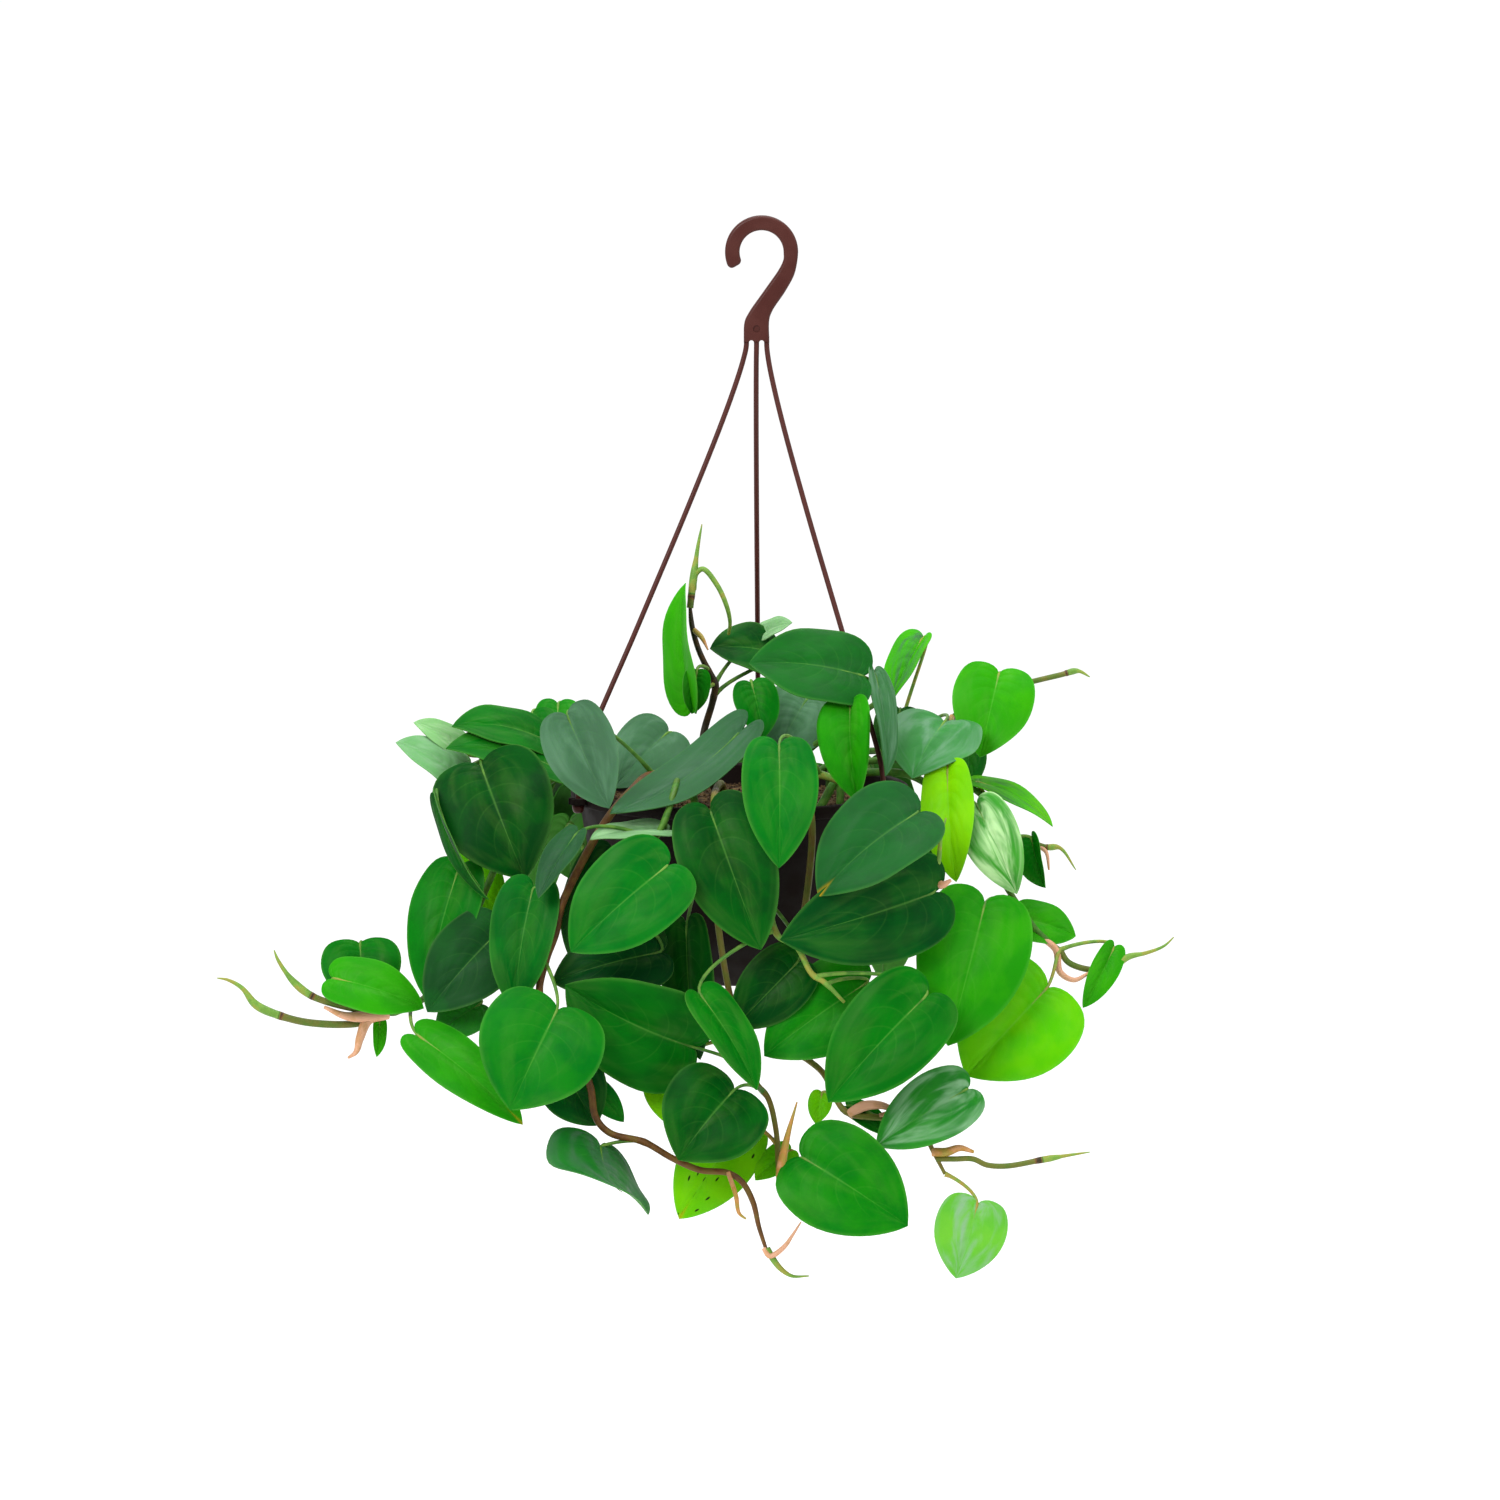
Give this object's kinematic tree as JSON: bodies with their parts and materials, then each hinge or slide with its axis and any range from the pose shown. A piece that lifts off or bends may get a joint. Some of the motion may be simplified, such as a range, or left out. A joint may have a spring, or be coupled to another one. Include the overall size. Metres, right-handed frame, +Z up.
{
  "type": "potted philodendron",
  "caption": "Heartleaf philodendron with trailing stems, spilling over a bowl-shaped hanging pot with a moulded hook hanger.",
  "frame": {"origin": "the seat at the top of the hook's throat, where the rail or bracket touches it", "axes": "+Z up along the hanging plant, +X to the right and -Y towards the viewer of the fuller front side"},
  "size_m": [0.475, 0.2991, 0.5129],
  "materials": {
    "hanger_plastic": "smooth moulded brown plastic",
    "pot_plastic": "smooth dark brown plastic",
    "potting_mix": "crumbly brown potting mix",
    "dark_foliage": "glossy dark green leaves on green and brown stems",
    "mid_foliage": "glossy mid green leaves on green and brown stems",
    "young_foliage": "satin lime green young leaves on pale stems"
  },
  "bodies": {
    "root": {"hanger": "hanger_plastic", "pot": "pot_plastic", "soil": "potting_mix", "vine_upright": "mid_foliage", "vine_top_right": "mid_foliage", "vine_right_back": "young_foliage", "vine_right_high": "young_foliage", "vine_right": "young_foliage", "vine_front_right": "dark_foliage", "vine_front_green": "mid_foliage", "vine_low_front": "mid_foliage", "vine_right_low": "mid_foliage", "vine_front_left": "dark_foliage", "vine_left_low": "mid_foliage", "vine_left_high": "mid_foliage", "vine_left_front": "dark_foliage", "vine_back_right": "mid_foliage", "vine_back_middle": "mid_foliage", "vine_back_left": "mid_foliage", "vine_back_far_left": "mid_foliage"}
  },
  "joints": []
}
